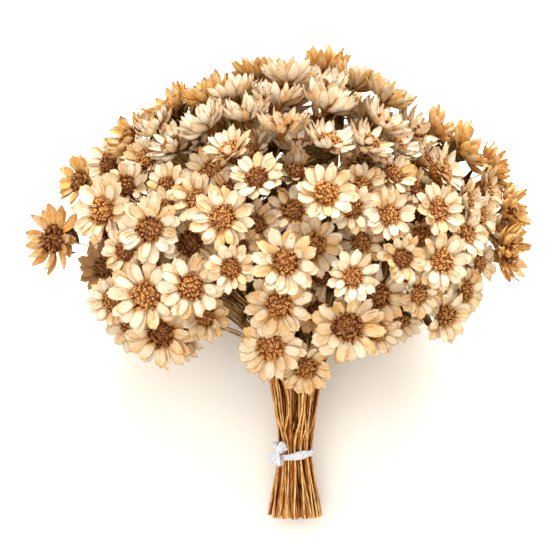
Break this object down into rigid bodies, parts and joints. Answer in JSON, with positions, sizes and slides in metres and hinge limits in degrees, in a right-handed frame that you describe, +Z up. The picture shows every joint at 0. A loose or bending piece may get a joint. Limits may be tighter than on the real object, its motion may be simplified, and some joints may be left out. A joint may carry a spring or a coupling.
{
  "type": "dried everlasting flower bunch",
  "caption": "Short tied bunch of dried, papery daisy-like everlasting flowers with cream petals and golden-brown centres, lying on its side.",
  "frame": {"origin": "under the middle of the bunch's box, on the surface that it lies on", "axes": "+X across the bunch, +Y from the cut stem ends towards the crown of flowers, +Z up. The stems rise 24 degrees towards +Y"},
  "size_m": [0.1252, 0.1136, 0.0815],
  "materials": {
    "dried_flower": "dry papery petals, cream to golden tan, on straw-brown stems",
    "cord": "matt white flat cord"
  },
  "bodies": {
    "root": {"spray_01": "dried_flower", "spray_02": "dried_flower", "spray_03": "dried_flower", "spray_04": "dried_flower", "spray_05": "dried_flower", "spray_06": "dried_flower", "spray_07": "dried_flower", "spray_08": "dried_flower", "spray_09": "dried_flower", "spray_10": "dried_flower", "spray_11": "dried_flower", "spray_12": "dried_flower", "spray_13": "dried_flower", "spray_14": "dried_flower", "spray_15": "dried_flower", "spray_16": "dried_flower", "spray_17": "dried_flower", "spray_18": "dried_flower", "spray_19": "dried_flower", "spray_20": "dried_flower", "spray_21": "dried_flower", "spray_22": "dried_flower", "spray_23": "dried_flower", "spray_24": "dried_flower", "spray_25": "dried_flower", "spray_26": "dried_flower", "spray_27": "dried_flower", "spray_28": "dried_flower", "spray_29": "dried_flower", "spray_30": "dried_flower", "spray_31": "dried_flower", "spray_32": "dried_flower", "spray_33": "dried_flower", "spray_34": "dried_flower", "spray_35": "dried_flower", "spray_36": "dried_flower", "spray_37": "dried_flower", "spray_38": "dried_flower", "spray_39": "dried_flower", "spray_40": "dried_flower", "spray_41": "dried_flower", "spray_42": "dried_flower", "spray_43": "dried_flower", "spray_44": "dried_flower", "spray_45": "dried_flower", "spray_46": "dried_flower", "spray_47": "dried_flower", "spray_48": "dried_flower", "spray_49": "dried_flower", "spray_50": "dried_flower", "spray_51": "dried_flower", "spray_52": "dried_flower", "spray_53": "dried_flower", "spray_54": "dried_flower", "spray_55": "dried_flower", "tie": "cord"}
  },
  "joints": []
}
